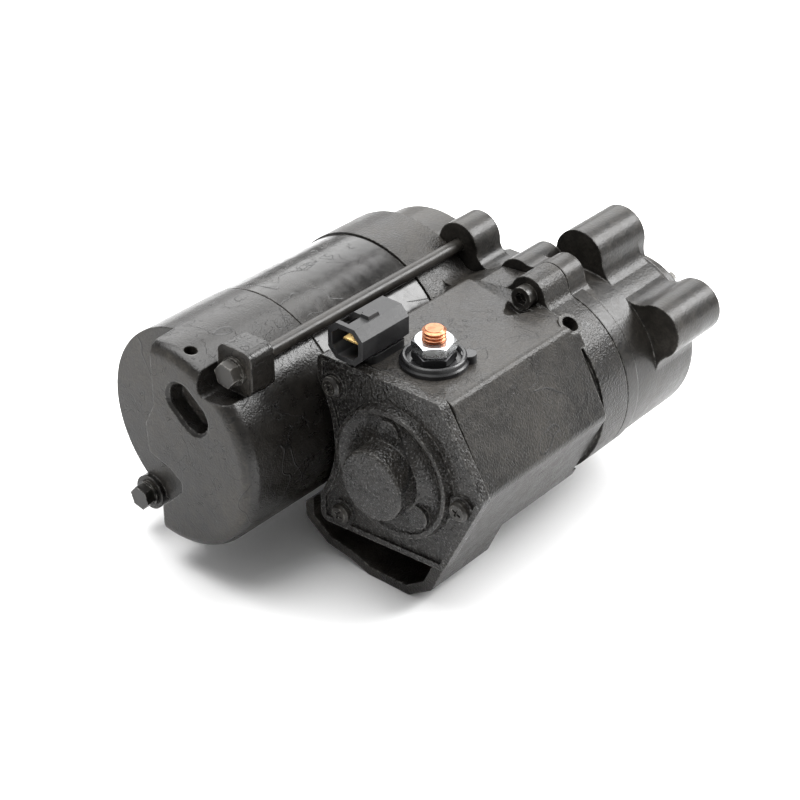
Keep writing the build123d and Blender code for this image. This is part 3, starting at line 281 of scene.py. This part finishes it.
def laminations(name):
    """The edges of a stack of punched sheets."""
    s = Surface(name)
    sheet = s.node("ShaderNodeTexWave", wave_type="BANDS", bands_direction="X", wave_profile="SAW")
    s.feed(sheet.inputs["Vector"], s.place)
    s.feed(sheet.inputs["Scale"], 310.0)
    rust = s.fit(s.noise(180, 6.0, 0.5, 0.7), 0.55, 0.75, 0.0, 0.5)
    tone = s.mix(rust, rgb(0.2, 0.2, 0.205), rgb(0.16, 0.09, 0.05))
    s.set(colour=tone, metal=0.85, rough=0.46)
    s.relief(s.math("MULTIPLY", sheet.outputs["Fac"], 0.05 * MM))
    return s.material


def copper_stud(name):
    """Bare copper, rubbed bright at the crests and tarnished in patches."""
    s = Surface(name)
    tarnish = s.fit(s.noise(520, 6.0, 0.8, 0.65), 0.42, 0.72, 0.0, 0.7)
    tone = s.mix(tarnish, rgb(0.42, 0.17, 0.09), rgb(0.22, 0.075, 0.035))
    tone = s.mix(s.math("MULTIPLY", s.edges(0.35 * MM), 0.7), tone, rgb(0.6, 0.3, 0.18))
    s.set(colour=tone, metal=1.0, rough=s.fit(tarnish, 0.0, 0.7, 0.32, 0.55))
    s.relief(s.total((s.noise(900, 4.0), 0.03 * MM), (s.noise(160, 2.0), 0.08 * MM)), 0.12 * MM)
    return s.material


FINISHES = {
    "cap_paint": paint("cap_paint", (0.42, 0.56), (1500, 0.03), dust=0.85, runs=0.38, edge_lightening=0.6, leather=0.08,
                       pebble=1500, round_=0.9, veins=0.5, matte=(-1.0, 0.0, 0.0)),
    "yoke_paint": paint("yoke_paint", (0.17, 0.3), (1600, 0.005), dust=0.2, runs=0.6, edge_lightening=0.4, veins=0.25),
    "case_paint": paint("case_paint", (0.34, 0.5), (1400, 0.03), dust=0.6, runs=0.3, edge_lightening=0.8, leather=0.2,
                        pebble=1500, round_=0.9, veins=0.3),
    "drive_paint": paint("drive_paint", (0.34, 0.48), (1500, 0.02), dust=0.6, runs=0.3, edge_lightening=0.7,
                         leather=0.07, pebble=1200, round_=0.9),
    "cover_paint": paint("cover_paint", (0.24, 0.44), (1100, 0.06), dust=0.35, runs=0.5, edge_lightening=0.7,
                         leather=0.3, pebble=1250, painted_glint=0.25, veins=0.9),
    "bolt_paint": paint("bolt_paint", (0.32, 0.48), (1700, 0.015), dust=0.5, edge_lightening=0.9, round_=0.3),
    "terminal_black": moulded("terminal_black", rgb(0.008, 0.008, 0.009), rgb(0.05, 0.05, 0.05), (0.22, 0.4)),
    "connector_plastic": moulded("connector_plastic", rgb(0.006, 0.006, 0.0065), rgb(0.03, 0.03, 0.03),
                                 (0.4, 0.55), 0.03),
    "bobbin_nylon": moulded("bobbin_nylon", rgb(0.55, 0.5, 0.38), rgb(0.7, 0.66, 0.55), (0.35, 0.5)),
    "insulator_board": moulded("insulator_board", rgb(0.2, 0.075, 0.025), rgb(0.36, 0.17, 0.07), (0.5, 0.65),
                               0.05, 0.5),
    "magnet_ferrite": moulded("magnet_ferrite", rgb(0.035, 0.036, 0.04), rgb(0.09, 0.09, 0.095), (0.45, 0.6),
                              0.04, 0.3),
    "brush_carbon": moulded("brush_carbon", rgb(0.03, 0.025, 0.022), rgb(0.2, 0.1, 0.06), (0.45, 0.6),
                            0.03, 0.6),
    "gasket_paper": moulded("gasket_paper", rgb(0.02, 0.02, 0.019), rgb(0.07, 0.065, 0.055), (0.6, 0.8),
                            0.06),
    "seal_rubber": moulded("seal_rubber", rgb(0.012, 0.012, 0.012), rgb(0.05, 0.05, 0.048), (0.5, 0.7), 0.03),
    "lead_rubber": moulded("lead_rubber", rgb(0.012, 0.012, 0.013), rgb(0.05, 0.05, 0.05), (0.42, 0.6), 0.03),
    "zinc_plate": steel("zinc_plate", rgb(0.6, 0.61, 0.62), (0.2, 0.34), lines=0.002, stain=0.25, edge_lightening=0.4),
    "black_oxide": steel("black_oxide", rgb(0.035, 0.035, 0.037), (0.24, 0.42), stain=0.4, edge_lightening=0.9,
                         metal=0.6),
    "ground_steel": steel("ground_steel", rgb(0.6, 0.6, 0.61), (0.12, 0.24), turned=0.003, stain=0.15),
    "hardened_steel": steel("hardened_steel", rgb(0.17, 0.165, 0.155), (0.3, 0.46), lines=0.005, stain=0.4),
    "turned_steel": steel("turned_steel", rgb(0.26, 0.26, 0.25), (0.28, 0.42), turned=0.008, stain=0.3),
    "spring_wire": steel("spring_wire", rgb(0.4, 0.4, 0.41), (0.2, 0.34), stain=0.3),
    "blade_brass": steel("blade_brass", rgb(0.72, 0.5, 0.2), (0.2, 0.36), lines=0.004, stain=0.35),
    "contact_copper": steel("contact_copper", rgb(0.7, 0.34, 0.2), (0.24, 0.4), turned=0.006, stain=0.45),
    "stud_copper": copper_stud("stud_copper"),
    "winding_enamel": windings("winding_enamel"),
    "lamination_steel": laminations("lamination_steel"),
}


def dress_nodes():
    """Gives every CAD node the finish of its slot in the record."""
    for entry in frame["record"]["subparts"]:
        made = frame["nodes"][entry["node"]]
        finish = FINISHES[entry["material_slot"]]
        if not made.material_slots:
            made.data.materials.append(finish)
        for slot in made.material_slots:
            slot.material = finish


dress_nodes()

# ---- floor, light and camera -----------------------------------------------------------
LOW = Vector(CAD_BOX[0])
HIGH = Vector(CAD_BOX[1])
CENTRE = (LOW + HIGH) / 2
FLOOR_HALF = 4.0
CAMERA_PLACE = (-0.5300, -0.3472, 0.3634)
CAMERA_AIM = (0.641, 0.5505, -0.5346)
CAMERA_LENS = 88.5
SENSOR_WIDTH = 36.0
SKY_STRENGTH = 0.5


def pale_floor():
    corners = [(x * FLOOR_HALF, y * FLOOR_HALF, LOW.z) for x, y in ((-1, -1), (1, -1), (1, 1), (-1, 1))]
    mesh = bpy.data.meshes.new("floor")
    mesh.from_pydata(corners, [], [(0, 1, 2, 3)])
    floor = bpy.data.objects.new("floor", mesh)
    bpy.context.scene.collection.objects.link(floor)
    s = Surface("pale_floor")
    s.set(colour=s.mix(s.noise(3.0), rgb(0.9, 0.9, 0.9), rgb(0.93, 0.93, 0.93)), rough=0.85, specular=0.2)
    s.relief(s.math("MULTIPLY", s.noise(900), 0.02 * MM))
    mesh.materials.append(s.material)


def softbox(name, place, size, power):
    """An area light at a place relative to the object's centre, turned towards it."""
    data = bpy.data.lights.new(name, "AREA")
    data.shape = "RECTANGLE"
    data.size, data.size_y = size
    data.energy = power
    lamp = bpy.data.objects.new(name, data)
    bpy.context.scene.collection.objects.link(lamp)
    lamp.location = CENTRE + Vector(place)
    lamp.rotation_euler = Vector(place).to_track_quat("Z", "Y").to_euler()


def studio_world():
    world = bpy.data.worlds.new("studio")
    world.use_nodes = True
    sky = world.node_tree.nodes["Background"]
    sky.inputs["Color"].default_value = (1.0, 1.0, 1.0, 1.0)
    sky.inputs["Strength"].default_value = SKY_STRENGTH
    bpy.context.scene.world = world


def photo_camera():
    data = bpy.data.cameras.new("camera")
    data.sensor_width = SENSOR_WIDTH
    data.lens = CAMERA_LENS
    data.clip_start = 0.02
    camera = bpy.data.objects.new("camera", data)
    bpy.context.scene.collection.objects.link(camera)
    camera.location = CAMERA_PLACE
    camera.rotation_euler = Vector(CAMERA_AIM).to_track_quat("-Z", "Y").to_euler()
    bpy.context.scene.camera = camera


pale_floor()
studio_world()
softbox("right_box", (0.64, -0.43, 0.64), (0.55, 0.4), 13.0)
softbox("top_box", (0.1, 0.2, 1.1), (1.3, 1.1), 30.0)
softbox("back_box", (0.9, 0.9, 0.7), (1.4, 0.7), 12.0)
bpy.context.scene.view_settings.view_transform = "Standard"
photo_camera()
